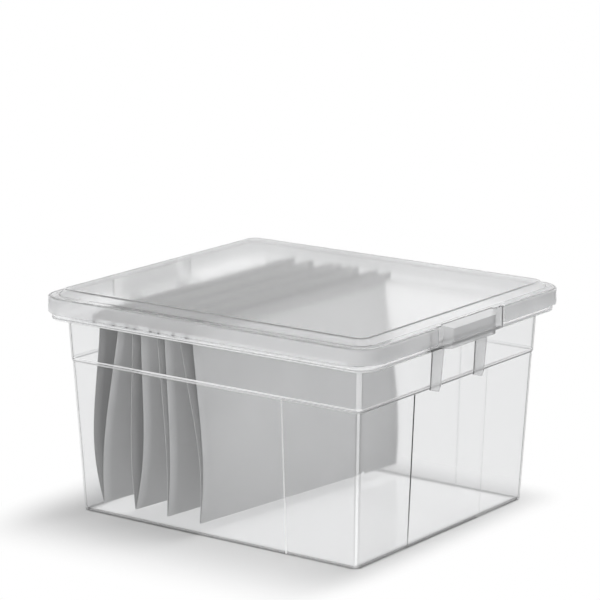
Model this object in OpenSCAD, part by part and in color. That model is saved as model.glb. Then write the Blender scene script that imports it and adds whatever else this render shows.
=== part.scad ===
/* [Tub] */
// Length of the tub at its base, left to right
base_len = 417; // [400:1:430]
// Width of the tub at its base, front to back
base_wid = 364; // [350:1:372]
// Height of the tub up to the top edge of its rim
tub_h = 271; // [265:1:285]
// Thickness of the moulded walls
wall = 2.2; // [1.8:0.1:2.8]
// Thickness of the floor
floor_t = 2.5; // [2:0.1:4]
// Draft of the walls, in degrees from upright
draft = 2.7; // [2:0.1:3]
// Plan radius of the wall corners
corner_r = 12; // [8:1:16]
// Radius along the bottom edge
foot_r = 3; // [1:0.5:5]
// Height of the step that runs round the walls
step_z = 192; // [150:1:200]
// How far the band above the step stands proud of the wall
band_out = 1.2; // [0.6:0.1:2]
// How far the middle panel of each wall stands proud
panel_out = 0.7; // [0.3:0.1:1]
// Width of the middle panel on the long walls
panel_long = 212; // [150:1:260]
// Width of the middle panel on the short walls
panel_short = 156; // [120:1:200]

/* [Rim] */
// Height of the rim, measured down from its top edge
rim_h = 27; // [24:1:32]
// How far the rim reaches out past the short walls
rim_out_x = 18.7; // [14:0.1:22]
// How far the rim reaches out past the long walls
rim_out_y = 15.3; // [12:0.1:20]
// Plan radius of the rim corners
rim_r = 24; // [20:1:30]
// Chamfer along the lower edge of the rim
rim_edge = 2; // [1:0.5:3]
// Height of the hanging rails above the rim's step
rail_h = 5; // [4:0.5:7]
// Thickness of the hanging rails
rail_t = 2.2; // [1.6:0.1:3]
// How far each rail stops short of the inside of the end walls
rail_short = 15; // [12:1:25]

/* [End grips] */
// Width of the grip block along its outer face
grip_w = 92; // [70:1:100]
// How far the ends of the block splay out towards the rim
grip_splay = 9; // [4:1:10]
// How far the block stands out from the rim
grip_out = 10.4; // [9:0.1:14]
// Depth of the groove that sets the lower lip of the block back
grip_lip_in = 1.5; // [0.5:0.1:2]
// Height of the lower lip of the block
grip_lip_h = 8; // [5:0.5:10]
// How far the top of the block rises over the rim
grip_rise = 1.8; // [1:0.1:2]
// How far the top of the block falls towards its outer edge
grip_fall = 4.4; // [2:0.1:6]
// Distance between the two fins under each grip
fin_pitch = 94; // [70:1:100]
// Thickness of the fins
fin_t = 2.6; // [2:0.1:4]
// Height of the bottom of the fins
fin_z = 189.5; // [170:0.5:200]
// How far the fins reach out from the wall at the top
fin_top = 17.5; // [12:0.5:18]
// How far the fins reach out from the wall at the bottom
fin_bottom = 15.5; // [10:0.5:17]
// Width of the cut corner at the foot of each fin
fin_cut = 2.5; // [1:0.5:4]
// Height of the cut corner at the foot of each fin
fin_cut_h = 7.5; // [3:0.5:12]

/* [Lid] */
// Free space all round between the rim and the lid's skirt
lid_play = 4.3; // [3:0.1:6]
// Gap between the rim's top edge and the lid at rest
seat_gap = 0.2; // [0.1:0.1:0.4]
// Height of the lid's skirt
skirt_h = 20.4; // [14:0.1:22]
// Plan radius of the skirt corners
skirt_r = 36; // [32:1:44]
// Radius along the top edge of the skirt
skirt_edge = 3; // [2:0.5:4]
// Chamfer inside the top edge of the skirt
inner_edge = 0.8; // [0.2:0.1:1.5]
// Width of the flat ledge between the skirt and the raised top
ledge_w = 15.5; // [10:0.5:20]
// Height of the raised top over the ledge
top_rise = 7.6; // [5:0.1:12]
// How far the sides of the raised top slope in
top_slope = 5.5; // [3:0.5:10]
// Plan radius of the raised top's corners
top_r = 14; // [10:1:20]
// Radius along the edge of the raised top
top_edge = 1.5; // [0.5:0.5:3]
// Width of the cut-out in each end of the skirt
notch_w = 144; // [136:1:160]
// Clearance between the lid and the grip blocks
notch_gap = 0.6; // [0.4:0.1:1.5]

/* [Folders] */
// How far in from the left end of the base the first folder's fold lies, at the front
fold_end = 33.5; // [30.5:1:36.5]
// Distance from one folder's fold to the next
fold_pitch = 50; // [48:1:52]
// Height of the folds over the floor
fold_lift = 12; // [8:1:20]
// How much further right the folds lie at the back than at the front
fold_skew = 42; // [0:1:50]
// Where each folder's left rod lies from its fold, at the front
rod_from_fold = [6, 7, -6, -22]; // [-30:1:20]
// Distance between the two rods of each folder
rod_open = [30, 13, 12, 20]; // [8:1:30]
// How much further right each folder's rods lie at the back
rod_skew = [8, 18, 10, 18]; // [0:1:20]
// How far the left leaves bow sideways
bow_left = [-14, -5, 4, 10]; // [-16:1:12]
// How far the right leaves bow sideways
bow_right = [-8, 9, 5, 8]; // [-16:1:12]
// How far the widest part of the bow lies towards the fold
bow_low = 0.6; // [0:0.1:0.9]
// Thickness of the card
card_t = 0.6; // [0.4:0.1:0.8]
// Space between the two leaves at the fold
fold_gap = 0.7; // [0.5:0.1:0.9]
// How far the card stops short of the rails, at its top corners
card_short = 6; // [4:0.5:10]
// How much narrower the card is at each end of the fold
card_taper = 10; // [0:1:14]
// Height of the hem that wraps the rod
hem_h = 12; // [11:0.5:16]

/* [Rods] */
// Thickness of the steel strip
rod_t = 1.2; // [0.8:0.1:1.6]
// Height of the steel strip
rod_h = 9; // [8:0.5:10]
// How far the strip reaches out past the rail
rod_past = 5.6; // [5:0.1:8]
// Width of the notch that hooks over the rail
hook_w = 7; // [6:0.1:8]
// Depth of the notch that hooks over the rail
hook_d = 4.3; // [3.5:0.1:5]
// Clearance between a rail and the coated notch above it
hook_gap = 0.4; // [0.2:0.1:0.6]
// Thickness of the plastic coat on the hooks
coat_t = 0.6; // [0.4:0.1:0.8]
// Space between the card's edge and the plastic coat
coat_clear = 0.4; // [0.2:0.1:1]
// Clearance between the strip and what wraps it
strip_gap = 0.1; // [0.05:0.05:0.2]

/* [Hidden] */

// Steps in the arc of one corner, and in a rounded edge
arc_steps = 8;
edge_steps = 3;
// Overlap that joins solids and clears cuts
bite = 0.5;

// Half sizes of the tub's wall at a height, without band or panel
function wall_x(z) = base_len / 2 + z * tan(draft);
function wall_y(z) = base_wid / 2 + z * tan(draft);

rim_z = tub_h - rim_h;
rim_x = wall_x(rim_z) + band_out + rim_out_x;
rim_y = wall_y(rim_z) + band_out + rim_out_y;
shelf_z = rim_z + wall;
shelf_in_x = wall_x(shelf_z) + band_out - wall;
shelf_in_y = wall_y(shelf_z) + band_out - wall;
rail_y = shelf_in_y + rail_t / 2;
rail_z = shelf_z + rail_h;
rail_len = 2 * (shelf_in_x - rail_short);

grip_x = rim_x + grip_out;
grip_in = rim_x - wall;
grip_top = tub_h + grip_rise;
// Height of the grip block's sloping top at a distance out
function grip_z(x) = grip_top - grip_fall * (x - grip_in) / (grip_x - grip_in);

skirt_x = rim_x + lid_play + wall;
skirt_y = rim_y + lid_play + wall;
ledge_z = tub_h + seat_gap + wall;
skirt_z = ledge_z - skirt_h;
lid_z = ledge_z + top_rise;
// Angle of the raised top's sides from upright, and how far their inside lies in at each level
slope_a = atan(top_slope / top_rise);
slope_in = wall * (1 / cos(slope_a) - tan(slope_a));

// Outline of a rounded rectangle, anticlockwise
function corner(cx, cy, r, from) = [
  for (i = [0:arc_steps]) let (a = from + 90 * i / arc_steps) [cx + r * cos(a), cy + r * sin(a)]
];
function outline(hx, hy, r) = concat(
  corner(hx - r, hy - r, r, 0),
  corner(r - hx, hy - r, r, 90),
  corner(r - hx, r - hy, r, 180),
  corner(hx - r, r - hy, r, 270)
);
// One level of a shell: its height, half sizes and corner radius
function level(z, hx, hy, r) = [for (p = outline(hx, hy, r)) [p.x, p.y, z]];

// Closed solid through a list of levels, from the lowest to the highest
module loft(levels) {
  n = len(levels[0]);
  last = len(levels) - 1;
  polyhedron(
    points = [for (l = levels) each l],
    faces = concat(
      [[for (i = [0:n - 1]) i]],
      [for (k = [0:last - 1]) for (i = [0:n - 1]) let (j = (i + 1) % n)
        [k * n + i, (k + 1) * n + i, (k + 1) * n + j, k * n + j]],
      [[for (i = [0:n - 1]) last * n + n - 1 - i]]
    ),
    convexity = 6
  );
}

function wall_level(z, inset) =
  level(z, wall_x(z) - inset, wall_y(z) - inset, corner_r - min(inset, corner_r / 2));
// How far in from the wall and up from the base a point of the rounded foot lies
function foot_in(i) = foot_r * (1 - sin(90 * i / edge_steps));
function foot_up(i) = foot_r * (1 - cos(90 * i / edge_steps));

// Proud panels on the four walls, for a face this far inside the wall's outside
module panels(inset, low, high) {
  for (side = [0, 1]) {
    half = side == 0 ? base_wid / 2 : base_len / 2;
    width = side == 0 ? panel_long : panel_short;
    face = [for (i = [0:edge_steps]) let (z = low + foot_up(i))
      [half + z * tan(draft) + panel_out - inset - foot_in(i), z]];
    profile = concat(
      [[half - inset - foot_r - bite, low]],
      face,
      [[half + high * tan(draft) + panel_out - inset, high], [half - inset - bite, high]]
    );
    for (turn = [0, 180]) rotate([0, 0, turn + 90 * side])
      rotate([90, 0, 90]) translate([0, 0, -width / 2]) linear_extrude(width) polygon(profile);
  }
}
module tub_outside() {
  loft(concat([for (i = [0:edge_steps]) wall_level(foot_up(i), foot_in(i))], [
    wall_level(step_z, 0),
    wall_level(step_z, -band_out),
    wall_level(rim_z, -band_out),
    level(rim_z, rim_x - rim_edge, rim_y - rim_edge, rim_r - rim_edge),
    level(rim_z + rim_edge, rim_x, rim_y, rim_r),
    level(tub_h, rim_x, rim_y, rim_r)
  ]));
  panels(0, 0, step_z + bite);
}
module tub_inside() {
  in_step = step_z + wall;
  loft(concat([for (i = [0:edge_steps]) wall_level(floor_t + foot_up(i), wall + foot_in(i))], [
    wall_level(in_step, wall),
    wall_level(in_step, wall - band_out),
    wall_level(shelf_z, wall - band_out),
    level(shelf_z, rim_x - wall, rim_y - wall, rim_r - wall),
    level(tub_h + bite, rim_x - wall, rim_y - wall, rim_r - wall)
  ]));
  panels(wall, floor_t, in_step + bite);
}
module hang_rail() {
  translate([-rail_len / 2, rail_y - rail_t / 2, shelf_z - bite])
    cube([rail_len, rail_t, rail_h + bite]);
}
// Upright plate in the XZ plane, centred on y = 0
module plate(points, thick) {
  translate([0, thick / 2, 0]) rotate([90, 0, 0]) linear_extrude(thick) polygon(points);
}
module fin() {
  root_low = wall_x(fin_z) - bite;
  root_top = wall_x(rim_z) - bite;
  tip_low = wall_x(fin_z) + fin_bottom;
  tip_top = wall_x(rim_z) + fin_top;
  plate([
    [root_low, fin_z], [tip_low - fin_cut, fin_z], [tip_low, fin_z + fin_cut_h],
    [tip_top, rim_z + bite], [root_top, rim_z + bite]
  ], fin_t);
}
// Plan of the grip block: its ends splay out towards the rim
module grip_plan(inset) {
  half = grip_w / 2 - inset;
  polygon([
    [grip_in, -half - grip_splay], [grip_x - inset, -half],
    [grip_x - inset, half], [grip_in, half + grip_splay]
  ]);
}
module grip_block() {
  lip_x = grip_x - grip_lip_in;
  lip_z = rim_z + grip_lip_h;
  hollow_x = lip_x - wall;
  span = grip_w + 2 * grip_splay;
  difference() {
    intersection() {
      translate([0, 0, rim_z - bite]) linear_extrude(rim_h + grip_rise + bite) grip_plan(0);
      plate([
        [grip_in, rim_z], [lip_x, rim_z], [lip_x, lip_z],
        [grip_x, lip_z + grip_lip_in], [grip_x, grip_z(grip_x)], [grip_in, grip_top]
      ], span);
    }
    // Hollow behind the outer face, open below for the fingers
    intersection() {
      translate([0, 0, rim_z - bite]) linear_extrude(rim_h) grip_plan(wall);
      plate([
        [rim_x, rim_z - bite], [hollow_x, rim_z - bite],
        [hollow_x, grip_z(hollow_x) - wall], [rim_x, grip_z(rim_x) - wall]
      ], span);
    }
  }
}
module both_ends() {
  children();
  mirror([1, 0, 0]) children();
}
module tub() {
  color([0.86, 0.87, 0.88]) {
    difference() {
      tub_outside();
      tub_inside();
    }
    hang_rail();
    mirror([0, 1, 0]) hang_rail();
    both_ends() {
      grip_block();
      translate([0, fin_pitch / 2, 0]) fin();
      translate([0, -fin_pitch / 2, 0]) fin();
    }
  }
}

// Levels of the lid from the skirt's lower edge to the raised top
function lid_level(z, inset, r) = level(z, skirt_x - inset, skirt_y - inset, r);
module lid_outside() {
  skirt_top = [for (i = [0:edge_steps]) let (a = 90 * i / edge_steps, d = skirt_edge * (1 - cos(a)))
    lid_level(ledge_z - skirt_edge * (1 - sin(a)), d, skirt_r - d)];
  raised_edge = [for (i = [0:edge_steps]) let (
    a = slope_a + (90 - slope_a) * i / edge_steps,
    d = top_edge * (1 - cos(a))
  ) lid_level(lid_z - top_edge * (1 - sin(a)), ledge_w + top_slope + d, top_r - d)];
  loft(concat(
    [lid_level(skirt_z, 0, skirt_r)],
    skirt_top,
    [lid_level(ledge_z, ledge_w, top_r)],
    raised_edge
  ));
}
module lid_inside() {
  under = ledge_z - wall;
  in_r = skirt_r - wall;
  loft([
    lid_level(skirt_z - bite, wall, in_r),
    lid_level(under - inner_edge, wall, in_r),
    lid_level(under, wall + inner_edge, in_r - inner_edge),
    lid_level(under, ledge_w + slope_in, top_r - slope_in),
    lid_level(lid_z - wall, ledge_w + top_slope + slope_in, top_r - slope_in)
  ]);
}
module lid() {
  wide_x = rim_x + notch_gap;
  deep_x = grip_in - notch_gap;
  deep_w = grip_w + 2 * (grip_splay + notch_gap);
  z0 = skirt_z - bite;
  high = skirt_h + 2 * bite;
  color([0.8, 0.81, 0.82]) difference() {
    lid_outside();
    lid_inside();
    both_ends() {
      translate([wide_x, -notch_w / 2, z0]) cube([skirt_x, notch_w, high]);
      translate([deep_x, -deep_w / 2, z0]) cube([skirt_x, deep_w, high]);
    }
  }
}

// Folders: a leaf is a bowed sheet from the fold to the rod
fold_z = floor_t + fold_lift;
coat_out = strip_gap + coat_t;
rod_z = rail_z + hook_gap + coat_out - hook_d;
hem_z = rod_z - strip_gap - card_t;
card_top_y = rail_y - card_short;
leaf_rows = 10;
leaf_cols = 6;
function fold_front(f) = fold_end - base_len / 2 + f * fold_pitch;
function rod_front(f, side) = fold_front(f) + rod_from_fold[f] + side * rod_open[f];
function bow(f, side) = side == 0 ? bow_left[f] : bow_right[f];
function mix(a, b, t) = a + (b - a) * t;
// Middle of the sheet at height share s and depth share t
function leaf_point(f, side, s, t) = let (
  half = mix(card_top_y - card_taper, card_top_y, s),
  low = fold_front(f) + fold_skew * t + (side * 2 - 1) * (card_t + fold_gap) / 2,
  high = rod_front(f, side) + rod_skew[f] * t
) [
  mix(low, high, s) + bow(f, side) * sin(180 * (s + bow_low * s * (1 - s))),
  mix(-half, half, t),
  mix(fold_z, hem_z + card_t, s)
];
module leaf_sheet(f, side) {
  cols = leaf_cols + 1;
  count = (leaf_rows + 1) * cols;
  grid = [for (i = [0:leaf_rows]) for (j = [0:leaf_cols])
    leaf_point(f, side, i / leaf_rows, j / leaf_cols)];
  shift = [card_t / 2, 0, 0];
  rim = concat(
    [for (j = [0:leaf_cols - 1]) j],
    [for (i = [0:leaf_rows - 1]) i * cols + leaf_cols],
    [for (j = [0:leaf_cols - 1]) count - 1 - j],
    [for (i = [0:leaf_rows - 1]) (leaf_rows - i) * cols]
  );
  polyhedron(
    points = concat([for (p = grid) p - shift], [for (p = grid) p + shift]),
    faces = concat(
      [for (i = [0:leaf_rows - 1]) for (j = [0:leaf_cols - 1]) for (half = [0, 1])
        let (a = i * cols + j) half == 0
          ? [a, a + 1, a + cols]
          : [a + 1, a + cols + 1, a + cols]],
      [for (i = [0:leaf_rows - 1]) for (j = [0:leaf_cols - 1]) for (half = [0, 1])
        let (a = count + i * cols + j) half == 0
          ? [a, a + cols, a + 1]
          : [a + 1, a + cols, a + cols + 1]],
      [for (k = [0:len(rim) - 1]) for (half = [0, 1])
        let (a = rim[k], b = rim[(k + 1) % len(rim)])
        half == 0 ? [a, b + count, b] : [a, a + count, b + count]]
    ),
    convexity = 4
  );
}
// Puts a piece that lies along Y onto the line of a folder's rod
module at_rod(f, side) {
  x = rod_front(f, side) + rod_skew[f] / 2;
  turn = -atan(rod_skew[f] / (2 * card_top_y));
  translate([x, 0, 0]) rotate([0, 0, turn]) children();
}
module strip_bar(thick, low, high, half) {
  translate([-thick / 2, -half, low]) cube([thick, 2 * half, high - low]);
}
module leaf(f, side) {
  slot = rod_t + 2 * strip_gap;
  color([0.55, 0.56, 0.57]) {
    leaf_sheet(f, side);
    at_rod(f, side) difference() {
      strip_bar(slot + 2 * card_t, hem_z, hem_z + hem_h, card_top_y);
      strip_bar(slot, rod_z - strip_gap, rod_z + rod_h + strip_gap, card_top_y + bite);
    }
  }
}
// Outline of one rod in the YZ plane, with its two hook notches
module rod_outline(grow) {
  end_y = rail_y + rod_past + grow;
  low = rod_z - grow;
  top = rod_z + rod_h + grow;
  notch_z = rod_z + hook_d - grow;
  near_y = rail_y - hook_w / 2 + grow;
  far_y = rail_y + hook_w / 2 - grow;
  polygon([
    [-near_y, low], [near_y, low], [near_y, notch_z], [far_y, notch_z], [far_y, low], [end_y, low],
    [end_y, top], [-end_y, top], [-end_y, low], [-far_y, low], [-far_y, notch_z], [-near_y, notch_z]
  ]);
}
module rod_solid(thick, grow) {
  translate([-thick / 2, 0, 0]) rotate([90, 0, 90]) linear_extrude(thick) rod_outline(grow);
}
module rod(f, side) {
  color([0.45, 0.46, 0.48]) at_rod(f, side) rod_solid(rod_t, 0);
}
// The plastic coat on both hooks of one rod
module hooks(f, side) {
  outer = rod_t + 2 * coat_out;
  near = card_top_y + coat_clear;
  reach = rail_y + rod_past + coat_out - near;
  color([0.2, 0.2, 0.21]) at_rod(f, side) difference() {
    intersection() {
      rod_solid(outer, coat_out);
      for (way = [0, 1]) mirror([0, way, 0])
        translate([-outer, near, 0]) cube([2 * outer, reach + bite, tub_h]);
    }
    rod_solid(rod_t + 2 * strip_gap, strip_gap);
  }
}

tub();
lid();
leaf(0, 0);  // folder_1_left_leaf
leaf(0, 1);  // folder_1_right_leaf
rod(0, 0);  // folder_1_left_rod
rod(0, 1);  // folder_1_right_rod
hooks(0, 0);  // folder_1_left_hooks
hooks(0, 1);  // folder_1_right_hooks
leaf(1, 0);  // folder_2_left_leaf
leaf(1, 1);  // folder_2_right_leaf
rod(1, 0);  // folder_2_left_rod
rod(1, 1);  // folder_2_right_rod
hooks(1, 0);  // folder_2_left_hooks
hooks(1, 1);  // folder_2_right_hooks
leaf(2, 0);  // folder_3_left_leaf
leaf(2, 1);  // folder_3_right_leaf
rod(2, 0);  // folder_3_left_rod
rod(2, 1);  // folder_3_right_rod
hooks(2, 0);  // folder_3_left_hooks
hooks(2, 1);  // folder_3_right_hooks
leaf(3, 0);  // folder_4_left_leaf
leaf(3, 1);  // folder_4_right_leaf
rod(3, 0);  // folder_4_left_rod
rod(3, 1);  // folder_4_right_rod
hooks(3, 0);  // folder_4_left_hooks
hooks(3, 1);  // folder_4_right_hooks
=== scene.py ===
"""Dresses a portable file box: clear tub, frosted lid and four hanging folders on steel rods."""

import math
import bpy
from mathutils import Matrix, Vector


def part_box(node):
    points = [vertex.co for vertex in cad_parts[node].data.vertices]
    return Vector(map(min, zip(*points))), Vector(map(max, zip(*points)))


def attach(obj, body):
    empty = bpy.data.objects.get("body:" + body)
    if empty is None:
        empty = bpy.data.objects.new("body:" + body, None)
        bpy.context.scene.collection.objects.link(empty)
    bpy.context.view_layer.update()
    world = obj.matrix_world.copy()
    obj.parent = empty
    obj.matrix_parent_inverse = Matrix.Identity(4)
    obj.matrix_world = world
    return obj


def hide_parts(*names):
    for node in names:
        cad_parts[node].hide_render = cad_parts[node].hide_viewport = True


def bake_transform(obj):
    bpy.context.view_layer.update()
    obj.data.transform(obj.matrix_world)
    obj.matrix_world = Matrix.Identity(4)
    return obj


bl_info = {
    "name": "Portable file box",
    "version": (1, 0, 0),
    "blender": (4, 5, 0),
    "location": "3D View > Sidebar > File box",
    "description": "Builds a clear file box with a frosted lid and hanging folders",
    "category": "Add Mesh",
}

import bmesh
import bpy
from mathutils import Matrix, Vector

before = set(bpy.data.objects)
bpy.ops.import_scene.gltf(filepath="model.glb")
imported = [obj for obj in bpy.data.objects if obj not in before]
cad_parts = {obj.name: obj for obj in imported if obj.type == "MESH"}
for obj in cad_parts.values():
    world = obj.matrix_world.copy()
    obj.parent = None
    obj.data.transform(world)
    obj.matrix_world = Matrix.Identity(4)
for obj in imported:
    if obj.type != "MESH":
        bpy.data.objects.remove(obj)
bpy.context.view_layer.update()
LID_LOW, LID_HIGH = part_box("lid")

MM = 0.001
FOLDERS = (1, 2, 3, 4)
# Which way along X each leaf of a folder lies from its fold
WAY = {"left": -1, "right": 1}

# Lengths from here on are in millimetres unless a comment says otherwise.
# Width of the sloping edge beside each panel
PANEL_EDGE = 1.6
# The step's profile: height and reach as shares of the band, and the share of the panels left
STEP = ((-1.0, 0.0, 1.0), (-0.3, 0.15, 0.8), (0.0, 0.5, 0.4), (0.3, 0.85, 0.0), (1.0, 1.0, 0.0))
# Least plan radius of a corner, and least radius inside the lid's upper edge
LEAST_RADIUS = 3.0
LEAST_INNER = 0.5
# Rings that soften each corner of the lid's raised top: how far up from the corner and how far
# in they lie, and what they add to its plan radius
INNER_TOP = ((0.0, 0.6, 0.0), (-0.3, 0.0, 0.0))
INNER_LEDGE = ((0.5, 0.3, 0.0), (0.0, -0.5, 0.0))
OUTER_LEDGE = ((0.0, -1.0, 0.5), (0.4, 0.1, 0.0))
# How far a cutting tool reaches past what it cuts, and past another tool
REACH = 5.0
TOOL_REACH = 1.0
# How much wider the grip block is at each end before it is cut to its plan
BLOCK_SPARE = 2.0
# How deep the rails, the fins and their tops go into the moulding that holds them
RAIL_ROOT = 1.0
FIN_ROOT = 0.8
# Space between the rim and the lid's skirt
SKIRT_GAP = 4.3
# Radii of the edges of the rails and fins, of the grip block and of its plan inside and outside
THIN_EDGE = 0.4
BLOCK_EDGE = 0.5
HOLLOW_EDGE = 0.6
PLAN_EDGE = 1.2
# Steps round a quarter of a wide corner
CORNER_STEPS = 10
# Angle in degrees over which an edge stays sharp, in mouldings and in card
SHARP = 35.0
CARD_SHARP = 60.0

# Numbers of the plastics of the tub and of the lid among their materials
WALLS, RIM, GRIPS, LINES, CORNERS = range(5)
TOP, SKIRT, SLOPE = range(3)
# Slack for telling which zone of a moulding a face is in
FIT = 0.5
FIN_FIT = 0.3
SKIRT_FIT = 0.6
LEDGE_FIT = 1.5
# Share of a wall corner's radius that the corners' plastic takes up
CORNER_SHARE = 0.55
# How strongly each moulding's plastic bends light
TUB_IOR = 1.05
LID_IOR = 1.12

# Where each folder's left rod lies from its fold, its opening, its rods' skew and its leaves' bows
ROD_FROM_FOLD = (6, 7, -6, -22)
ROD_OPEN = (30, 13, 12, 20)
ROD_SKEW = (8, 18, 10, 18)
BOW = {"left": (-14, -5, 4, 10), "right": (-8, 9, 5, 8)}
# Rows of faces up a leaf and round its half of the fold, and columns across it
LEAF_ROWS = 30
FOLD_ROWS = 4
LEAF_COLUMNS = 24
# Heights at which a hem has opened out and at which its sides stop being straight
HEM_OPEN = 0.8
HEM_STRAIGHT = 5.0
# Shares of a hem's half thickness at which it starts and ends on the sheet
HEM_START = 0.6
HEM_END = 0.9
# Painted shade of the rim and lid on the folders' tops: brightness of the card at the hem, and how
# far down it darkens, as a share of the hem's height
HEM_SHADE = 0.5
SHADE_FROM = 1.5
# Share of the card's thickness that the sheet takes, so that it stays in the card's room
CARD_SHARE = 0.95
# How squarely a face has to face into its folder to take the painted shade of the inside
PAINTED_SHADE_FACING = 0.3

# Noise values between these two are spread over a material's range
NOISE_SPAN = (0.3, 0.7)
# Scales of the noise in each material, in features per metre
GRAIN = 60.0
SWELL = 9.0
FIBRES = 900.0
PATCHES = 14.0
ROLLED = (900.0, 12.0, 900.0)
COAT_GRAIN = 500.0
# How the plastics' grain changes their roughness, and their swell's height in metres and strength
GRAIN_SHARES = (0.95, 1.05)
SWELL_HEIGHT = 0.0002
SWELL_STRENGTH = 0.1
# How much the fibres count beside the patches, and their height in metres and strength
FIBRE_SHARE = 0.5
FIBRE_HEIGHT = 0.00008
FIBRE_STRENGTH = 0.5
# Darkest and lightest tone, and least and greatest roughness, of the card, the steel and the coat
CARD_TONES, CARD_ROUGH = (0.9, 1.1), (0.62, 0.78)
STEEL_TONES, STEEL_ROUGH = (0.85, 1.1), (0.28, 0.42)
COAT_TONES, COAT_ROUGH = (0.8, 1.3), (0.35, 0.5)
# Light of its own that the white floor adds for the camera beside the tub, and painted light under
# it
FLOOR_GLOW = 0.2
FLOOR_PAINTED_LIGHT_UNDER = 0.42
# Painted contact shadow under the tub: the floor is dark at the foot and lightens inwards between
# these depths
PAINTED_CONTACT_SHADOW = (3.0, 16.0)
# How quickly the floor is painted white over the shadow on the low and the high side of each axis
HALO = {"X": (1.8, 3.0), "Y": (1.0, 2.5)}
# Distance at which the floor is painted white over all of the shadow, and half the floor's length,
# in metres
SHADOW_END = 0.2
FLOOR_REACH = 40.0
FLOOR_COLOUR = (0.6, 0.6, 0.6, 1.0)
# Heights of a direction between which the surroundings change to their upper glow
WORLD_FADE = (0.3, 0.8)
WHITE = (1.0, 1.0, 1.0, 1.0)
# Size and place of each lamp, and what they face, in metres
LAMPS = {"key": (2.4, (0.4, -3.0, 1.1)), "top": (0.7, (0.35, 0.75, 1.7))}
LAMP_TARGET = (0.0, 0.0, 0.15)
# Width of the camera's sensor in millimetres, and how far it sees in metres
SENSOR = 36.0
VIEW_END = 100.0
# Many thin walls lie behind each other, so light needs this many bounces and clear passes
BOUNCES = 28
CLEAR_PASSES = 40


def size(name, description, default, **more):
    """A length in millimetres that a user may change."""
    return bpy.props.FloatProperty(
        name=name, description=description, default=default, min=0.0, **more
    )


def tint(name, description, default):
    """A colour that a user may change."""
    return bpy.props.FloatVectorProperty(
        name=name, description=description, default=default, subtype="COLOR", size=3,
        min=0.0, max=1.0,
    )


def share(name, description, default):
    """A number from 0 to 1 that a user may change."""
    return bpy.props.FloatProperty(
        name=name, description=description, default=default, min=0.0, max=1.0, subtype="FACTOR"
    )


class TubSettings(bpy.types.PropertyGroup):
    """Sizes and finish of the tub, in millimetres."""

    base_len: size("Base length", "Length of the tub at its base", 417.0)
    base_wid: size("Base width", "Width of the tub at its base", 364.0)
    height: size("Height", "Height of the rim's top edge", 271.0)
    wall: size("Wall", "Thickness of the moulded walls", 2.2)
    floor: size("Floor", "Thickness of the floor", 2.5)
    draft: size("Draft", "Draft of the walls in degrees", 2.7)
    corner: size("Corner radius", "Plan radius of the wall corners", 12.0)
    foot: size("Foot radius", "Radius along the bottom edge", 3.0)
    step_z: size("Step height", "Height of the step round the walls", 192.0)
    band: size("Band", "How far the band above the step stands proud", 1.2)
    panel: size("Panel", "How far the middle panels stand proud", 0.7)
    panel_long: size("Long panel", "Width of the panel on the long walls", 212.0)
    panel_short: size("Short panel", "Width of the panel on the short walls", 156.0)
    rim_h: size("Rim height", "Height of the rim", 27.0)
    rim_out_x: size("Rim reach in X", "How far the rim reaches past the short walls", 18.7)
    rim_out_y: size("Rim reach in Y", "How far the rim reaches past the long walls", 15.3)
    rim_r: size("Rim radius", "Plan radius of the rim corners", 24.0)
    rim_edge: size("Rim edge", "Radius along the lower edge of the rim", 2.0)
    lip: size("Lip radius", "Radius along the rim's top edge", 0.8)
    fillet: size("Fillet", "Radius of the inner corners of the moulding", 1.5)
    rail_h: size("Rail height", "Height of the hanging rails", 5.0)
    rail_t: size("Rail thickness", "Thickness of the hanging rails", 2.2)
    rail_short: size("Rail end gap", "How far each rail stops short of the end walls", 15.0)
    fin_pitch: size("Fin pitch", "Distance between the fins under each grip", 94.0)
    fin_t: size("Fin thickness", "Thickness of the fins", 2.6)
    fin_z: size("Fin bottom", "Height of the bottom of the fins", 189.5)
    fin_top: size("Fin reach at the top", "How far the fins reach out at the top", 17.5)
    fin_bottom: size("Fin reach at the bottom", "How far the fins reach out at the bottom", 15.5)
    fin_cut: size("Fin cut width", "Width of the cut corner of each fin", 2.5)
    fin_cut_h: size("Fin cut height", "Height of the cut corner of each fin", 7.5)
    grip_w: size("Grip width", "Width of the grip block along its outer face", 92.0)
    grip_splay: size("Grip splay", "How far the ends of the block splay out", 9.0)
    grip_out: size("Grip reach", "How far the block stands out from the rim", 10.4)
    grip_lip_in: size("Grip groove", "Depth of the groove above the block's lower lip", 1.5)
    grip_lip_h: size("Grip lip height", "Height of the block's lower lip", 8.0)
    grip_rise: size("Grip rise", "How far the block rises over the rim", 1.8)
    grip_fall: size("Grip fall", "How far the block's top falls outwards", 4.4)
    colour: tint("Wall colour", "Colour of the clear walls", (0.975, 0.977, 0.98))
    haze: share("Wall haze", "Share of light that the walls scatter", 0.05)
    rough: share("Wall roughness", "Roughness of the walls", 0.13)
    rim_colour: tint("Rim colour", "Colour of the thicker rim", (0.86, 0.862, 0.865))
    rim_haze: share("Rim haze", "Share of light that the rim scatters", 0.08)
    grip_colour: tint("Grip colour", "Colour of the grip blocks and fins", (0.88, 0.882, 0.885))
    grip_haze: share("Grip haze", "Share of light that the grip blocks and fins scatter", 0.3)
    line_haze: share("Line haze", "Share of light that the step and panel edges scatter", 0.75)
    corner_haze: share("Corner haze", "Share of light that the corners of the walls scatter", 0.15)


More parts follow.
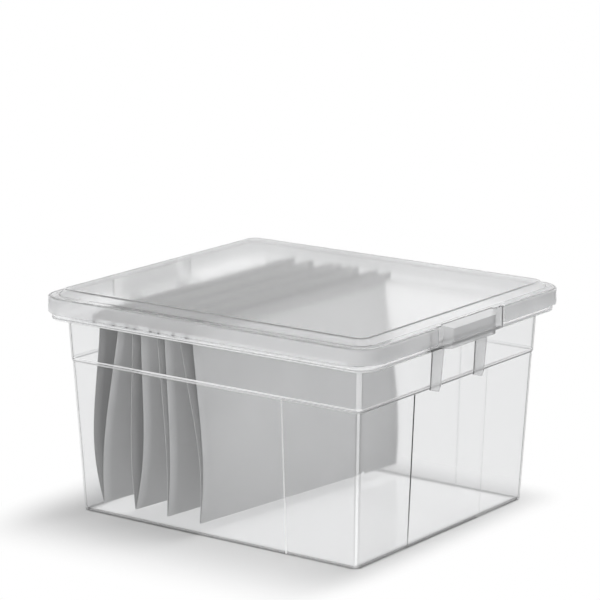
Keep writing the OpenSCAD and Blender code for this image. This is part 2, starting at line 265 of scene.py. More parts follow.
class LidSettings(bpy.types.PropertyGroup):
    """Sizes and finish of the lid, in millimetres."""

    skirt_r: size("Skirt radius", "Plan radius of the skirt corners", 36.0)
    skirt_edge: size("Skirt edge", "Radius along the top edge of the skirt", 3.0)
    ledge_w: size("Ledge width", "Width of the ledge round the raised top", 15.5)
    rise: size("Rise", "Height of the raised top over the ledge", 7.6)
    slope: size("Slope", "How far the sides of the raised top slope in", 5.5)
    top_r: size("Top radius", "Plan radius of the raised top's corners", 14.0)
    top_edge: size("Top edge", "Radius along the edge of the raised top", 1.5)
    wall: size("Wall", "Thickness of the lid", 2.2)
    notch_w: size("Cut-out width", "Width of the cut-out in each end", 144.0)
    notch_gap: size("Cut-out gap", "Clearance between the lid and the grip blocks", 0.6)
    colour: tint("Colour", "Colour of the frosted plastic", (0.93, 0.932, 0.935))
    haze: share("Top haze", "Share of light that the top scatters", 0.07)
    rough: share("Top frost", "Roughness of the top", 0.13)
    slope_haze: share("Slope haze", "Share of light that the sides of the raised top scatter", 0.24)
    skirt_haze: share("Skirt haze", "Share of light that the textured skirt scatters", 0.32)
    skirt_rough: share("Skirt frost", "Roughness of the textured skirt", 0.33)


class FolderSettings(bpy.types.PropertyGroup):
    """Sizes and finish of the folders, in millimetres."""

    fold_x: size("First fold", "How far left the first fold lies, at the front", 175.0)
    pitch: size("Pitch", "Distance from one fold to the next", 50.0)
    fold_z: size("Fold height", "Height of the folds", 14.5)
    skew: size("Skew", "How much further right the folds lie at the back", 42.0)
    card: size("Card", "Thickness of the card", 0.6)
    fold_gap: size("Fold gap", "Space between the two leaves at the fold", 0.7)
    taper: size("Taper", "How much narrower the card is at the fold", 10.0)
    bow_low: share("Low bow", "How far the bow lies towards the fold", 0.6)
    hem_h: size("Hem height", "Height of the hem round the rod", 12.0)
    hem_t: size("Hem thickness", "Thickness of the hem round the rod", 2.6)
    colour: tint("Card colour", "Colour of the card", (0.475, 0.477, 0.48))
    # Painted shade: the folders' inside is this share as bright as their outside, for the shade
    # within them
    inside: share("Inside", "Brightness of the folders' inside against their outside", 0.5)
    steel: tint("Steel colour", "Colour of the rods", (0.55, 0.56, 0.57))
    coat: tint("Coat colour", "Colour of the coat on the hooks", (0.035, 0.035, 0.038))


class StudioSettings(bpy.types.PropertyGroup):
    """The camera and the light, in metres, degrees and watts."""

    camera_at: bpy.props.FloatVectorProperty(
        name="Camera", description="Where the camera stands", default=(2.0703, -2.8479, 1.0586),
        subtype="TRANSLATION", unit="LENGTH",
    )
    target: bpy.props.FloatVectorProperty(
        name="Target", description="What the camera looks at", default=(-0.00405, -0.00252, 0.2608),
        subtype="TRANSLATION", unit="LENGTH",
    )
    lens: size("Lens", "Focal length on a 36 mm sensor", 176.2)
    world: size("World", "Strength of the surroundings as a light", 0.4)
    glow: size("Upper glow", "Strength of the high surroundings that gloss shows", 0.95)
    key: size("Key", "Power of the lamp in front", 52.0)
    top: size("Top", "Power of the lamp overhead", 17.0)


def settings():
    return bpy.context.scene.file_box


class Nodes:
    """A node tree, filled a node at a time."""

    def __init__(self, tree):
        self.tree = tree

    def feed(self, socket, value):
        """Sets an input to a value, or links it to an output."""
        if isinstance(value, bpy.types.NodeSocket):
            self.tree.links.new(value, socket)
        else:
            socket.default_value = value

    def add(self, kind, sockets=None, **options):
        """A node with its options and with what its inputs take."""
        node = self.tree.nodes.new(kind)
        for key, value in options.items():
            setattr(node, key, value)
        for key, value in (sockets or {}).items():
            self.feed(node.inputs[key], value)
        return node

    def maths(self, operation, *sources):
        """The result of a sum on its sources."""
        return self.add("ShaderNodeMath", dict(enumerate(sources)), operation=operation).outputs[0]

    def span(self, source, start, end, low, high, kind="LINEAR"):
        """A number that goes from low to high as the source goes from start to end."""
        node = self.add("ShaderNodeMapRange", {
            "Value": source, "From Min": start, "From Max": end, "To Min": low, "To Max": high,
        }, interpolation_type=kind)
        return node.outputs["Result"]

    def axes(self, space):
        """The X, Y and Z of a place in a space."""
        place = self.add("ShaderNodeTexCoord")
        return self.add("ShaderNodeSeparateXYZ", {0: place.outputs[space]}).outputs

    def seen(self):
        """One for rays of the camera, of gloss and through clear plastic, and nought for others."""
        rays = self.add("ShaderNodeLightPath").outputs
        seen = self.maths("MAXIMUM", rays["Is Camera Ray"], rays["Is Transmission Ray"])
        return self.maths("MAXIMUM", seen, rays["Is Glossy Ray"])


class Tree(Nodes):
    """The node tree of a new material."""

    def __init__(self, name):
        self.material = bpy.data.materials.new(name)
        self.material.use_nodes = True
        super().__init__(self.material.node_tree)
        self.tree.nodes.clear()
        self.out = self.add("ShaderNodeOutputMaterial")

    def surface(self, shader):
        """Gives the material its surface and hands it over."""
        self.feed(self.out.inputs["Surface"], shader.outputs[0])
        return self.material

    def noise(self, scale, detail=3.0):
        """Noise over the object's own space, whose scale is in features per metre."""
        place = self.add("ShaderNodeTexCoord")
        return self.add("ShaderNodeTexNoise", {
            "Vector": place.outputs["Object"], "Scale": scale, "Detail": detail,
        }).outputs["Fac"]

    def spread(self, source, low, high):
        """Turns a noise value into a range."""
        return self.span(source, *NOISE_SPAN, low, high)

    def bump(self, source, height, strength):
        """A normal that follows a source, whose height is in metres."""
        return self.add("ShaderNodeBump", {
            "Distance": height, "Strength": strength, "Height": source,
        }).outputs["Normal"]

    def tones(self, source, colour, dark, light):
        """A darker and a lighter tone of one colour, mixed by a source."""
        return self.add("ShaderNodeMix", {
            "A": (*scaled(colour, dark), 1.0), "B": (*scaled(colour, light), 1.0), "Factor": source,
        }, data_type="RGBA").outputs["Result"]


def scaled(colour, k):
    """A colour times a number, held under white."""
    return tuple(min(1.0, c * k) for c in colour)


def see_through(name, colour, haze, rough, ior, shade, depth, painted_glow=0.0, coat=1.0):
    """Clear moulded plastic whose shadow lets light through.

    shade is what the shadow keeps, depth how quickly thickness darkens the plastic, its glow a
    painted highlight that it gives out as light of its own, and coat how strongly its gloss bends
    light.
    """
    tree = Tree(name)
    body = tree.add("ShaderNodeBsdfPrincipled", {
        "Base Color": (*colour, 1.0), "Transmission Weight": 1.0 - haze, "IOR": ior,
        # A painted highlight: the plastic gives out light of its own
        "Emission Strength": painted_glow,
        "Roughness": tree.spread(tree.noise(GRAIN), *(rough * share for share in GRAIN_SHARES)),
        "Normal": tree.bump(tree.noise(SWELL, 1.0), SWELL_HEIGHT, SWELL_STRENGTH),
    })
    if coat > 1.0:
        for key, value in (("Weight", 1.0), ("IOR", coat), ("Roughness", rough)):
            body.inputs["Coat " + key].default_value = value
    clear = tree.add("ShaderNodeBsdfTransparent", {"Color": (shade, shade, shade, 1.0)})
    rays = tree.add("ShaderNodeLightPath").outputs
    soak = tree.add("ShaderNodeVolumeAbsorption", {"Color": (0.0, 0.0, 0.0, 1.0), "Density": depth})
    tree.feed(tree.out.inputs["Volume"], soak.outputs[0])
    return tree.surface(tree.add("ShaderNodeMixShader", {
        0: rays["Is Shadow Ray"], 1: body.outputs[0], 2: clear.outputs[0],
    }))


def card_material(name, colour, hem):
    """Matt grey card with fine fibres and soft patches, with painted shade of the rim that darkens
    it over a height towards the hem.
    """
    tree = Tree(name)
    fibres = tree.noise(FIBRES, 4.0)
    mixed = tree.maths("MULTIPLY_ADD", fibres, FIBRE_SHARE, tree.noise(PATCHES, 2.0))
    # Painted shade: the card's colour is scaled down towards the hem, where the rim and lid shade
    # it
    shade = tree.add("ShaderNodeVectorMath", {
        0: tree.tones(mixed, colour, *CARD_TONES),
        "Scale": tree.span(tree.axes("Object")["Z"], *hem, 1.0, HEM_SHADE),
    }, operation="SCALE")
    return tree.surface(tree.add("ShaderNodeBsdfPrincipled", {
        "Base Color": shade.outputs[0],
        "Roughness": tree.spread(fibres, *CARD_ROUGH),
        "Normal": tree.bump(fibres, FIBRE_HEIGHT, FIBRE_STRENGTH),
    }))


def steel_material(colour):
    """Rolled steel strip with fine lines along it."""
    tree = Tree("rod_steel")
    place = tree.add("ShaderNodeTexCoord")
    stretch = tree.add("ShaderNodeMapping", {
        "Vector": place.outputs["Object"], "Scale": ROLLED,
    })
    lines = tree.add("ShaderNodeTexNoise", {"Vector": stretch.outputs["Vector"]}).outputs["Fac"]
    return tree.surface(tree.add("ShaderNodeBsdfPrincipled", {
        "Metallic": 1.0,
        "Base Color": tree.tones(lines, colour, *STEEL_TONES),
        "Roughness": tree.spread(lines, *STEEL_ROUGH),
    }))


def coat_material(colour):
    """Dark dipped plastic."""
    tree = Tree("hook_coat")
    grain = tree.noise(COAT_GRAIN)
    return tree.surface(tree.add("ShaderNodeBsdfPrincipled", {
        "Base Color": tree.tones(grain, colour, *COAT_TONES),
        "Roughness": tree.spread(grain, *COAT_ROUGH),
    }))


def floor_material(t):
    """White studio floor that keeps the lamps' shadow close round the tub's base and is painted
    white over it further out, with painted light under the tub and a painted contact shadow at its
    foot.
    """
    tree = Tree("studio_floor")
    seen, place = tree.seen(), tree.axes("Object")
    past, near, inside = [], [], []
    for axis, wide in (("X", t.base_len), ("Y", t.base_wid)):
        half = (wide / 2 - t.corner) * MM
        sides = []
        for way, scale in zip((-1.0, 1.0), HALO[axis]):
            out = tree.maths("SUBTRACT", tree.maths("MULTIPLY", place[axis], way), half)
            sides.append(tree.maths("MULTIPLY", tree.maths("MAXIMUM", out, 0.0), scale))
        past.append(tree.maths("ADD", *sides))
        out = tree.maths("SUBTRACT", tree.maths("ABSOLUTE", place[axis]), half)
        near.append(tree.maths("MAXIMUM", out, 0.0))
        inside.append(tree.maths("SUBTRACT", out, t.corner * MM))

    def length(x, y):
        away = tree.add("ShaderNodeCombineXYZ", {"X": x, "Y": y}).outputs[0]
        return tree.add("ShaderNodeVectorMath", {0: away}, operation="LENGTH").outputs["Value"]

    # Painted contact shadow: the floor is darkest in a thin line where the tub's foot meets it,
    # with painted light further under the tub
    thin, deep = (-depth * MM for depth in PAINTED_CONTACT_SHADOW)
    foot = tree.span(tree.maths("MAXIMUM", *inside), deep, thin, FLOOR_PAINTED_LIGHT_UNDER, 0.0, "SMOOTHSTEP")
    beside = tree.maths("GREATER_THAN", length(*near), t.corner * MM)
    lift = tree.maths("ADD", foot, tree.maths("MULTIPLY", beside, FLOOR_GLOW))
    paint = tree.add("ShaderNodeBsdfDiffuse", {"Color": FLOOR_COLOUR})
    glow = tree.add("ShaderNodeEmission", {"Strength": tree.maths("MULTIPLY", seen, lift)})
    both = tree.add("ShaderNodeAddShader", {0: paint.outputs[0], 1: glow.outputs[0]})
    # Past the shadow the floor is painted plain white for whatever sees it
    white = tree.add("ShaderNodeEmission", {"Strength": seen})
    edge = tree.span(length(*past), t.corner * MM, SHADOW_END, 0.0, 1.0, "SMOOTHSTEP")
    return tree.surface(tree.add("ShaderNodeMixShader", {
        0: edge, 1: both.outputs[0], 2: white.outputs[0],
    }))


def white_world(s):
    """White surroundings, dimmer where they light the object and, high up, in its gloss."""
    world = bpy.data.worlds.new("studio_world")
    world.use_nodes = True
    nodes = Nodes(world.node_tree)
    glow = nodes.span(nodes.axes("Generated")["Z"], *WORLD_FADE, 1.0, s.glow, "SMOOTHSTEP")
    choice = nodes.add("ShaderNodeMix", {"A": s.world, "B": glow, "Factor": nodes.seen()})
    back = nodes.tree.nodes["Background"]
    nodes.feed(back.inputs["Color"], WHITE)
    nodes.feed(back.inputs["Strength"], choice.outputs["Result"])
    return world


def smooth(mesh, angle=SHARP):
    """Shades a mesh smooth except along edges over the angle."""
    mesh.polygons.foreach_set("use_smooth", [True] * len(mesh.polygons))
    mesh.set_sharp_from_angle(angle=math.radians(angle))


def finished(name, bm, materials=(), angle=SHARP):
    """Makes an object of a bmesh, in metres."""
    bmesh.ops.recalc_face_normals(bm, faces=bm.faces)
    mesh = bpy.data.meshes.new(name)
    bm.to_mesh(mesh)
    bm.free()
    smooth(mesh, angle)
    piece = bpy.data.objects.new(name, mesh)
    bpy.context.scene.collection.objects.link(piece)
    for material in materials:
        mesh.materials.append(material)
    return piece


def baked(piece):
    """Applies a piece's modifiers to its mesh."""
    bpy.context.view_layer.update()
    graph = bpy.context.evaluated_depsgraph_get()
    mesh = bpy.data.meshes.new_from_object(piece.evaluated_get(graph))
    piece.modifiers.clear()
    piece.data = mesh


def combine(piece, tool, operation):
    """Joins a tool into a piece, or cuts the piece with it, and removes the tool."""
    modifier = piece.modifiers.new(operation.lower(), "BOOLEAN")
    modifier.operation = operation
    modifier.solver = "EXACT"
    modifier.object = tool
    baked(piece)
    bpy.data.objects.remove(tool)


def dressed(piece, plastics, zone):
    """Smooths a joined moulding, keeps its flats flat and gives each zone its plastic."""
    mesh = piece.data
    mesh.materials.clear()
    mesh.materials.append(plastics[0])
    mesh.polygons.foreach_set("material_index", [0] * len(mesh.polygons))
    smooth(mesh)
    flats = piece.modifiers.new("flats", "WEIGHTED_NORMAL")
    flats.keep_sharp = True
    baked(piece)
    for plastic in plastics[1:]:
        piece.data.materials.append(plastic)
    for face in piece.data.polygons:
        face.material_index = zone(face)


def rounded(half_x, half_y, radius, z, panels=(0.0, 0.0, 0.0)):
    """One ring of points: a rounded rectangle whose four sides can have a proud middle."""
    out, long_half, short_half = panels
    ring = []
    corners = ((1, 1, 0), (-1, 1, 90), (-1, -1, 180), (1, -1, 270))
    for side, (sx, sy, start) in enumerate(corners):
        cx, cy = sx * (half_x - radius), sy * (half_y - radius)
        ring += [(cx + radius * c, cy + radius * k, z)
                 for c, k in arc(CORNER_STEPS, start, start + 90)]
        width = long_half if side % 2 == 0 else short_half
        if not width:
            continue
        turn = Matrix.Rotation(math.radians(90 * side), 2)
        reach = half_y if side % 2 == 0 else half_x
        foot = width + PANEL_EDGE
        for along, proud in ((foot, 0), (width, out), (-width, out), (-foot, 0)):
            x, y = turn @ Vector((along, reach + proud))
            ring.append((x, y, z))
    return ring


def loft(rings, name):
    """A closed shell through rings of as many points each, from one cap to the other."""
    bm = bmesh.new()
    rows = [[bm.verts.new(Vector(p) * MM) for p in ring] for ring in rings]
    count = len(rows[0])
    for low, high in zip(rows, rows[1:]):
        for i in range(count):
            j = (i + 1) % count
            bm.faces.new((low[i], low[j], high[j], high[i]))
    bm.faces.new(list(reversed(rows[0])))
    bm.faces.new(rows[-1])
    return finished(name, bm)


def extruded(points, shift):
    """A bmesh of one flat face that is drawn out along a shift."""
    bm = bmesh.new()
    face = bm.faces.new([bm.verts.new(Vector(p) * MM) for p in points])
    made = bmesh.ops.extrude_face_region(bm, geom=[face])
    moved = [v for v in made["geom"] if isinstance(v, bmesh.types.BMVert)]
    bmesh.ops.translate(bm, verts=moved, vec=Vector(shift) * MM)
    return bm


def soften(bm, edges, radius, segments):
    """Rounds edges of a bmesh."""
    bmesh.ops.bevel(
        bm, geom=edges, offset=radius * MM, segments=segments, profile=0.5, affect="EDGES"
    )


def prism(points, half, name, soft=0.0):
    """An upright plate in the XZ plane with softened edges."""
    bm = extruded([(x, -half, z) for x, z in points], (0, 2 * half, 0))
    if soft:
        soften(bm, list(bm.edges), soft, 2)
    return finished(name, bm)


def arc(steps, start=0.0, end=90.0):
    """Cosine and sine pairs round part of a circle."""
    angles = [math.radians(start + (end - start) * i / steps) for i in range(steps + 1)]
    return [(math.cos(a), math.sin(a)) for a in angles]


def lean(s):
    """How far a drafted wall moves out per millimetre of height."""
    return math.tan(math.radians(s.draft))


def wall_x(s, z):
    """How far out the short walls stand at a height, without their band."""
    return s.base_len / 2 + z * lean(s)


def wall_y(s, z):
    """How far out the long walls stand at a height, without their band."""
    return s.base_wid / 2 + z * lean(s)


def rim_low(s):
    """How far out and how high the lower edge of the rim is at the short walls."""
    z = s.height - s.rim_h
    return wall_x(s, z) + s.band + s.rim_out_x, z


def tub_rings(s):
    """The rings of the tub, up its outside, over the rim and down its inside."""
    halves = (s.panel_long / 2, s.panel_short / 2)
    rim_x, rim_z = rim_low(s)
    rim_y = wall_y(s, rim_z) + s.band + s.rim_out_y

    def at(z, out, proud=0.0):
        """A ring at a height, out from the drafted wall."""
        radius = max(s.corner + out, LEAST_RADIUS)
        return rounded(wall_x(s, z) + out, wall_y(s, z) + out, radius, z, (proud, *halves))

    def rim(z, inset):
        """A ring of the upright rim."""
        return rounded(rim_x - inset, rim_y - inset, s.rim_r - inset, z, (0.0, *halves))

    e, t, w, f, b, p = s.rim_edge, s.lip, s.wall, s.fillet, s.band, s.panel
    shelf, inner_step = rim_z + s.wall, s.step_z + s.wall
    rings = [at(s.foot * (1 - c), -s.foot * (1 - k), p) for c, k in arc(4)]
    rings += [at(s.step_z + up * b, out * b, left * p) for up, out, left in STEP]
    rings += [at(rim_z - f * (1 - k), b + f * (1 - c)) for c, k in arc(3)]
    rings += [rim(rim_z + e * (1 - k), e * (1 - c)) for c, k in reversed(arc(4))]
    rings += [rim(s.height - t * (1 - k), t * (1 - c)) for c, k in arc(3)]
    rings += [rim(s.height - t * (1 - k), w - t * (1 - c)) for c, k in reversed(arc(3))]
    rings += [rim(shelf + f * (1 - k), w + f * (1 - c)) for c, k in arc(3)]
    rings += [at(shelf - t * (1 - k), b - w + t * (1 - c)) for c, k in reversed(arc(3))]
    rings += [at(inner_step + up * b, out * b - w, left * p) for up, out, left in reversed(STEP)]
    rings += [at(s.floor + s.foot * (1 - k), -w - s.foot * (1 - c), p) for c, k in arc(4)]
    return rings


def grip_block(s):
    """The hollow grip block of one end, its ends splayed towards the rim."""
    rim_x, rim_z = rim_low(s)
    grip_in, grip_x = rim_x - s.wall, rim_x + s.grip_out
    lip_x, lip_z = grip_x - s.grip_lip_in, rim_z + s.grip_lip_h
    top = s.height + s.grip_rise
    half, span = s.grip_w / 2, s.grip_w / 2 + s.grip_splay

    def roof(x):
        """Height of the block's sloping top at a distance out."""
        return top - s.grip_fall * (x - grip_in) / (grip_x - grip_in)

    def plan(inset, low, high, name, soft):
        """The block's plan between two heights, inset from its outside."""
        bm = extruded([
            (grip_in, inset - span, low), (grip_x - inset, inset - half, low),
            (grip_x - inset, half - inset, low), (grip_in, span - inset, low),
        ], (0, 0, high - low))
        upright = [e for e in bm.edges if abs(e.verts[0].co.z - e.verts[1].co.z) > MM / 2]
        soften(bm, upright, soft, 3)
        return finished(name, bm)

    block = prism([
        (grip_in, rim_z), (lip_x, rim_z), (lip_x, lip_z), (grip_x, lip_z + s.grip_lip_in),
        (grip_x, roof(grip_x)), (grip_in, top),
    ], span + BLOCK_SPARE, "grip_block", BLOCK_EDGE)
    combine(block, plan(0.0, rim_z - REACH, top + REACH, "grip_plan", PLAN_EDGE), "INTERSECT")
    hollow_x = lip_x - s.wall
    hollow = prism([
        (rim_x, rim_z - REACH), (hollow_x, rim_z - REACH), (hollow_x, roof(hollow_x) - s.wall),
        (rim_x, roof(rim_x) - s.wall),
    ], span, "grip_hollow")
    inner = plan(s.wall, rim_z - REACH - TOOL_REACH, top, "hollow_plan", HOLLOW_EDGE)
    combine(hollow, inner, "INTERSECT")
    combine(block, hollow, "DIFFERENCE")
    return block


def mirrored(piece, axis):
    """A copy of a piece on the other side of the box."""
    copy = piece.copy()
    copy.data = piece.data.copy()
    copy.data.transform(Matrix.Scale(-1, 4, axis))
    copy.data.flip_normals()
    bpy.context.scene.collection.objects.link(copy)
    return copy


def moved_y(piece, y):
    """Moves a piece's mesh along Y."""
    piece.data.transform(Matrix.Translation((0, y * MM, 0)))


def tub_plastics(s):
    """The tub's plastics, in the order of their numbers."""
    wall, rim = {"ior": TUB_IOR, "shade": 0.9}, {"ior": TUB_IOR, "shade": 0.82}
    return [
        see_through("tub_walls", s.colour, s.haze, s.rough, depth=16.0, coat=1.25, **wall),
        see_through("tub_rim", s.rim_colour, s.rim_haze, s.rough, depth=10.0, coat=1.25, **rim),
        see_through("tub_grips", s.grip_colour, s.grip_haze, s.rough, depth=15.0, coat=1.2, **rim),
        # The lines and the corners glow with light of their own: a painted highlight
        see_through("tub_lines", s.colour, s.line_haze, s.rough, depth=2.0, painted_glow=0.12, **wall),
        see_through("tub_corners", s.colour, s.corner_haze, s.rough, depth=0.5, painted_glow=0.06,
                    coat=1.25, **wall),
    ]


def tub_zone(face):
    """The number of the plastic that a face of the tub has."""
    s, notch = settings().tub, settings().lid.notch_w / 2
    x, y, z = (abs(c) for c in face.center / MM)
    rim_x, rim_z = rim_low(s)
    past_x, past_y = x - wall_x(s, z), y - wall_y(s, z)
    if z > rim_z - FIT:
        if x > rim_x - s.wall - FIT and y < notch:
            return GRIPS
        # Past the cut-outs the rim's lower edge takes the glowing plastic: a painted highlight
        return LINES if z < rim_z + 2 * s.rim_edge and y > notch else RIM
    if past_x > s.band + FIN_FIT:
        return GRIPS
    # The step takes the glowing plastic: a painted highlight
    if -s.band < z - s.step_z < s.wall + s.band:
        return LINES
    # The wall corners take a plastic with a fainter painted highlight
    if min(past_x, past_y) > -s.corner * CORNER_SHARE:
        return CORNERS
    # Painted highlight and painted shade: of the panels' edges, alike in shape, some take the
    # glowing plastic, one the darker rim plastic and one stays as clear as the wall
    if z < s.step_z and past_y > 0 and 0 < x - s.panel_long / 2 < PANEL_EDGE:
        return LINES if face.center.x > 0 else WALLS
    if z < s.step_z and past_x > 0 and 0 < y - s.panel_short / 2 < PANEL_EDGE:
        return RIM if face.center.y < 0 else LINES
    return WALLS


class FILEBOX_OT_tub(bpy.types.Operator):
    """Builds the clear tub with its rim, rails, fins and grip blocks"""

    bl_idname = "filebox.tub"
    bl_label = "Tub"

    def execute(self, context):
        s = settings().tub
        tub = loft(tub_rings(s), "tub_moulding")
        rim_z = rim_low(s)[1]
        shelf = rim_z + s.wall
        low, high = shelf - RAIL_ROOT, shelf + s.rail_h
        reach = wall_x(s, shelf) + s.band - s.wall - s.rail_short
        rail = prism(
            [(-reach, low), (reach, low), (reach, high), (-reach, high)],
            s.rail_t / 2, "rail", THIN_EDGE,
        )
        moved_y(rail, wall_y(s, shelf) + s.band - s.wall + s.rail_t / 2)
        pieces = [rail, mirrored(rail, (0, 1, 0))]
        low_x, top_x, top = wall_x(s, s.fin_z), wall_x(s, rim_z), rim_z + FIN_ROOT
        tip = low_x + s.fin_bottom
        for side in (-1, 1):
            fin = prism([
                (low_x - FIN_ROOT, s.fin_z), (tip - s.fin_cut, s.fin_z),
                (tip, s.fin_z + s.fin_cut_h), (top_x + s.fin_top, top), (top_x - FIN_ROOT, top),
            ], s.fin_t / 2, "fin", THIN_EDGE)
            moved_y(fin, side * s.fin_pitch / 2)
            pieces += [fin, mirrored(fin, (1, 0, 0))]
        block = grip_block(s)
        pieces += [block, mirrored(block, (1, 0, 0))]
        for piece in pieces:
            combine(tub, piece, "UNION")
        dressed(tub, tub_plastics(s), tub_zone)
        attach(tub, "tub")
        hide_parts("tub")
        return {"FINISHED"}


def lid_rings(s, half_x, half_y, low, high):
    """The rings of the lid, from under its raised top, round the skirt's edge and up to its top."""
    w, e, ledge_z = s.wall, s.skirt_edge, high - s.rise
    tilt = math.atan(s.slope / s.rise)
    shift = w * (1 / math.cos(tilt) - math.tan(tilt))
    lip, inner = w / 2, max(e - w, LEAST_INNER)
    top_in, under = s.ledge_w + s.slope, ledge_z - w

    def at(z, inset, radius):
        """A ring at a height, in from the skirt's outside."""
        return rounded(half_x - inset, half_y - inset, radius, z)

    def skirt(z, inset):
        """A ring whose corners share the skirt's centres."""
        return at(z, inset, s.skirt_r - inset)

    def soft(z, inset, radius, offsets):
        """Rings close to each other round a soft corner."""
        return [at(z + up, inset + within, radius + wider) for up, within, wider in offsets]

    rings = soft(high - w, top_in + shift, s.top_r - shift, INNER_TOP)
    rings += soft(under, s.ledge_w + shift, s.top_r - shift, INNER_LEDGE)
    rings += [skirt(under - inner * (1 - k), w + inner * (1 - c)) for c, k in reversed(arc(3))]
    rings += [skirt(low + lip * (1 - k), w - lip * (1 - c)) for c, k in arc(2)]
    rings += [skirt(low + lip * (1 - k), lip * (1 - c)) for c, k in arc(2)[-2::-1]]
    rings += [skirt(ledge_z - e * (1 - k), e * (1 - c)) for c, k in arc(5)]
    rings += soft(ledge_z, s.ledge_w, s.top_r, OUTER_LEDGE)
    for c, k in arc(4, math.degrees(tilt)):
        inset = s.top_edge * (1 - c)
        rings.append(at(high - s.top_edge * (1 - k), top_in + inset, s.top_r - inset))
    return rings


def lid_plastics(s):
    """The lid's plastics, in the order of their numbers."""
    return [
        see_through("lid_top", s.colour, s.haze, s.rough, LID_IOR, shade=0.8, depth=2.0),
        see_through("lid_skirt", s.colour, s.skirt_haze, s.skirt_rough, LID_IOR, shade=0.75,
                    depth=3.0),
        see_through("lid_slope", s.colour, s.slope_haze, s.skirt_rough, LID_IOR, shade=0.8,
                    depth=1.0),
    ]


def lid_zone(face):
    """The number of the plastic that a face of the lid has."""
    s = settings().lid
    x, y, z = face.center / MM
    corner = LID_HIGH / MM
    past = Vector((abs(x) - corner.x + s.skirt_r, abs(y) - corner.y + s.skirt_r))
    inset = s.skirt_r - (past.length if min(past) > 0 else max(past))
    if inset < s.wall + SKIRT_FIT and z < corner.z - s.rise - SKIRT_FIT:
        return SKIRT
    slope = s.ledge_w - LEDGE_FIT < inset < s.ledge_w + s.slope + s.wall
    return SLOPE if inset < s.skirt_edge + FIT or slope else TOP


class FILEBOX_OT_lid(bpy.types.Operator):
    """Builds the frosted lid with its skirt, ledge, raised top and cut-outs"""

    bl_idname = "filebox.lid"
    bl_label = "Lid"

    def execute(self, context):
        s, t = settings().lid, settings().tub
        half_x, half_y, high = LID_HIGH / MM
        low = LID_LOW.z / MM
        lid = loft(lid_rings(s, half_x, half_y, low, high), "lid_moulding")
        rim_x = half_x - s.wall - SKIRT_GAP
        deep_half = t.grip_w / 2 + t.grip_splay + s.notch_gap
        cuts = ((rim_x + s.notch_gap, s.notch_w / 2), (rim_x - t.wall - s.notch_gap, deep_half))
        for side in (-1, 1):
            far, under = side * (half_x + REACH), low - REACH
            for near, half in cuts:
                near *= side
                corners = [(near, under), (far, under), (far, high), (near, high)]
                combine(lid, prism(corners, half, "cut"), "DIFFERENCE")
        dressed(lid, lid_plastics(s), lid_zone)
        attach(lid, "lid")
        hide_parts("lid")
        return {"FINISHED"}


def leaf_point(s, folder, side, up, back, top_y, top_z):
    """Middle of a leaf's sheet at a share of its height and of its depth."""
    f = folder - 1
    half = top_y - s.taper * (1 - up)
    fold = f * s.pitch - s.fold_x
    low = fold + s.skew * back + WAY[side] * (s.card + s.fold_gap) / 2
    high = fold + ROD_FROM_FOLD[f] + ROD_SKEW[f] * back
    if side == "right":
        high += ROD_OPEN[f]
    bow = BOW[side][f] * math.sin(math.pi * (up + s.bow_low * up * (1 - up)))
    z = s.fold_z + (top_z - s.fold_z) * up
    return Vector((low + (high - low) * up + bow, -half + 2 * half * back, z))


def leaf_sheet(s, folder, side, materials):
    """One leaf of a folder: its half of the rounded fold, the sheet and the hem over the rod."""
    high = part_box(f"folder_{folder}_{side}_leaf")[1] / MM
    hem_low = high.z - s.hem_h

    def line(up, top):
        """Points across the leaf at a share of its height."""
        shares = (j / LEAF_COLUMNS for j in range(LEAF_COLUMNS + 1))
        return [leaf_point(s, folder, side, up, back, high.y, top) for back in shares]

    def shifted(points, x, z):
        """Points moved in X and Z."""
        return [p + Vector((x, 0, z)) for p in points]

    bend = (s.card + s.fold_gap) / 2
    grid = [
        shifted(line(0.0, hem_low), WAY[side] * bend * (k - 1), -bend * c)
        for c, k in arc(FOLD_ROWS)[:-1]
    ]
    grid += [line(i / LEAF_ROWS, hem_low + s.card) for i in range(LEAF_ROWS + 1)]
    t, top = (s.hem_t - s.card) / 2, s.hem_h - s.card
    hem = [(-t * HEM_START, 0.0), (-t, HEM_OPEN), (-t, HEM_STRAIGHT)]
    hem += [(-t * c, top - t + t * k) for c, k in arc(4, 0.0, 180.0)]
    hem += [(t, HEM_STRAIGHT), (t, HEM_OPEN), (t * HEM_END, 0.0)]
    last = grid[-1]
    grid += [shifted(last, x, z) for x, z in hem]
    bm = bmesh.new()
    rows = [[bm.verts.new(p * MM) for p in points] for points in grid]
    for low_row, high_row in zip(rows, rows[1:]):
        for j in range(LEAF_COLUMNS):
            bm.faces.new((low_row[j], low_row[j + 1], high_row[j + 1], high_row[j]))
    piece = finished(f"folder_{folder}_{side}_card", bm, materials, CARD_SHARP)
    thick = piece.modifiers.new("card", "SOLIDIFY")
    thick.thickness = s.card * MM * CARD_SHARE
    thick.offset = 0.0
    baked(piece)
    # Faces that look into the folder take the darker card: painted shade
    for face in piece.data.polygons:
        if face.normal.x * WAY[side] < -PAINTED_SHADE_FACING:
            face.material_index = 1
    return piece


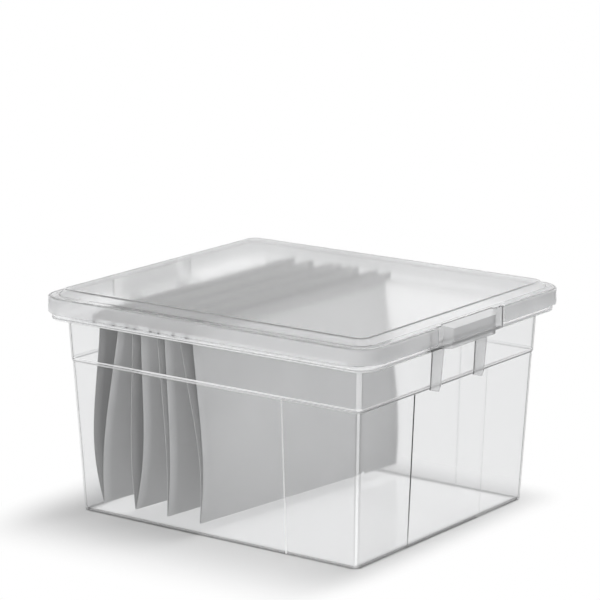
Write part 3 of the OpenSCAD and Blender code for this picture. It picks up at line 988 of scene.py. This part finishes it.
class FILEBOX_OT_folders(bpy.types.Operator):
    """Builds the cards of the four hanging folders and finishes their rods and hooks"""

    bl_idname = "filebox.folders"
    bl_label = "Folders"

    def execute(self, context):
        s = settings().folders
        hem_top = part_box("folder_1_left_leaf")[1].z
        # Heights over which the card takes the painted shade of the rim
        hem = (hem_top - SHADE_FROM * s.hem_h * MM, hem_top - s.hem_h * MM)
        cards = [
            card_material("folder_card", s.colour, hem),
            # The second card is a darker copy of the first, for the painted shade inside the
            # folders
            card_material("folder_inside_painted_shade", scaled(s.colour, s.inside), hem),
        ]
        steel, coat = steel_material(s.steel), coat_material(s.coat)
        for folder in FOLDERS:
            for side in WAY:
                body = f"folder_{folder}_{side}"
                sheet = leaf_sheet(s, folder, side, cards)
                if side == "left":
                    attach(sheet, body)
                else:
                    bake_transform(sheet)
                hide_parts(body + "_leaf")
                for part, material in (("rod", steel), ("hooks", coat)):
                    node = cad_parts[f"{body}_{part}"]
                    node.data.materials.clear()
                    node.data.materials.append(material)
        return {"FINISHED"}


def facing(piece, at, target):
    """Stands a lamp or a camera at a place, facing a target, and links it."""
    piece.location = at
    piece.rotation_euler = (Vector(target) - Vector(at)).to_track_quat("-Z", "Y").to_euler()
    bpy.context.scene.collection.objects.link(piece)


def lamp(name, power):
    """A square soft lamp that only lights, and doesn't show in gloss or through plastic."""
    light = bpy.data.lights.new(name, "AREA")
    light.energy = power
    light.size, at = LAMPS[name]
    piece = bpy.data.objects.new(name, light)
    piece.visible_camera = False
    piece.visible_transmission = False
    piece.visible_glossy = False
    facing(piece, at, LAMP_TARGET)


class FILEBOX_OT_studio(bpy.types.Operator):
    """Builds the floor, the white surroundings, the lamps and the camera"""

    bl_idname = "filebox.studio"
    bl_label = "Studio"

    def execute(self, context):
        s = settings().studio
        scene = context.scene
        scene.view_settings.view_transform = "Standard"
        scene.cycles.max_bounces = BOUNCES
        scene.cycles.transmission_bounces = BOUNCES
        scene.cycles.transparent_max_bounces = CLEAR_PASSES
        bm = bmesh.new()
        ways = ((-1, -1), (1, -1), (1, 1), (-1, 1))
        bm.faces.new([bm.verts.new((x * FLOOR_REACH, y * FLOOR_REACH, 0)) for x, y in ways])
        finished("studio_floor", bm, [floor_material(settings().tub)])
        scene.world = white_world(s)
        lamp("key", s.key)
        lamp("top", s.top)
        camera = bpy.data.cameras.new("camera")
        camera.lens = s.lens
        camera.sensor_width = SENSOR
        camera.clip_end = VIEW_END
        piece = bpy.data.objects.new("camera", camera)
        facing(piece, s.camera_at, s.target)
        scene.camera = piece
        return {"FINISHED"}


class FileBoxSettings(bpy.types.PropertyGroup):
    """All settings of the file box."""

    tub: bpy.props.PointerProperty(type=TubSettings, name="Tub", description="The clear tub")
    lid: bpy.props.PointerProperty(type=LidSettings, name="Lid", description="The frosted lid")
    folders: bpy.props.PointerProperty(
        type=FolderSettings, name="Folders", description="The hanging folders"
    )
    studio: bpy.props.PointerProperty(
        type=StudioSettings, name="Studio", description="Camera and light"
    )


class FILEBOX_PT_sidebar(bpy.types.Panel):
    """Lists the pieces of the file box"""

    bl_idname = "FILEBOX_PT_sidebar"
    bl_label = "File box"
    bl_space_type = "VIEW_3D"
    bl_region_type = "UI"
    bl_category = "File box"

    def draw(self, context):
        for name in ("tub", "lid", "folders", "studio"):
            self.layout.operator(f"filebox.{name}")
            part = getattr(settings(), name)
            for key in part.bl_rna.properties.keys():
                if key not in ("rna_type", "name"):
                    self.layout.prop(part, key)


CLASSES = (
    TubSettings, LidSettings, FolderSettings, StudioSettings, FileBoxSettings,
    FILEBOX_OT_tub, FILEBOX_OT_lid, FILEBOX_OT_folders, FILEBOX_OT_studio, FILEBOX_PT_sidebar,
)


def register():
    for cls in CLASSES:
        bpy.utils.register_class(cls)
    bpy.types.Scene.file_box = bpy.props.PointerProperty(type=FileBoxSettings)


def unregister():
    del bpy.types.Scene.file_box
    for cls in reversed(CLASSES):
        bpy.utils.unregister_class(cls)


def main():
    register()
    bpy.ops.filebox.tub()
    bpy.ops.filebox.lid()
    bpy.ops.filebox.folders()
    bpy.ops.filebox.studio()
    bpy.context.view_layer.update()


if __name__ == "__main__":
    main()
